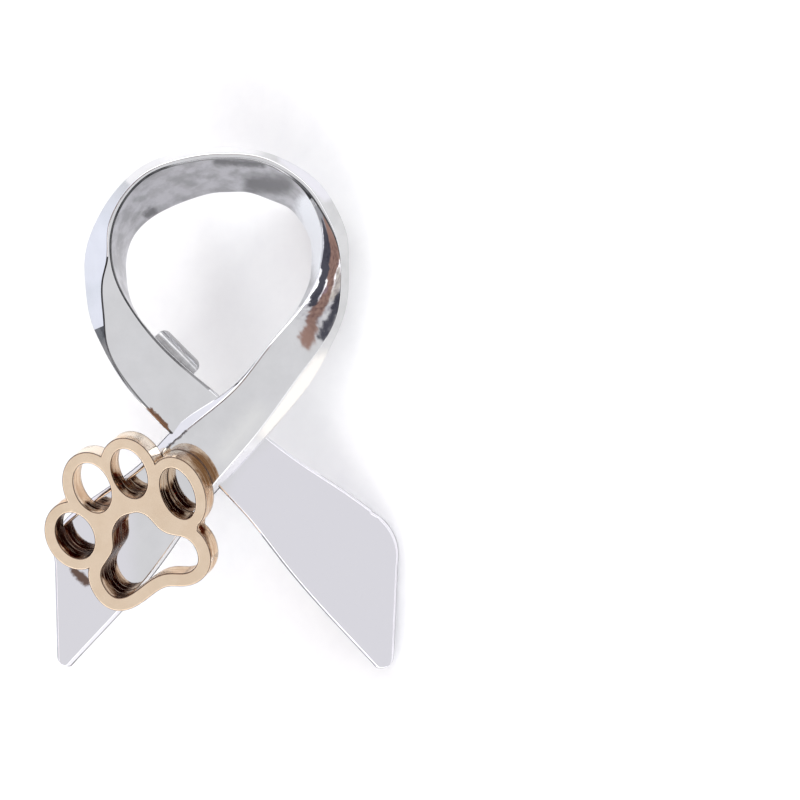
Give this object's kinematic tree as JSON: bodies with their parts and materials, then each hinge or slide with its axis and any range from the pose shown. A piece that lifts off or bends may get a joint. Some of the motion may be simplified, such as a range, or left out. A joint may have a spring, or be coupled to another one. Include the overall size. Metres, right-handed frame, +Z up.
{
  "type": "awareness ribbon pin",
  "caption": "Crossed awareness ribbon in silver metal with a looped top, a pierced gold paw on the left tail, and a straight post with a scroll nut behind.",
  "frame": {"origin": "centre of the footprint, on the surface that the pin lies on", "axes": "+Z up, +Y towards the top of the loop, +X towards the right tail, with the face leaning to +X as it lies"},
  "size_m": [0.0188, 0.0302, 0.0123],
  "materials": {
    "ribbon_plate": "polished silver plate",
    "paw_plate": "pale gold plate, satin",
    "nut_steel": "bright rolled steel"
  },
  "bodies": {
    "root": {"ribbon": "ribbon_plate", "paw_charm": "paw_plate", "post_nut": "nut_steel"}
  },
  "joints": []
}
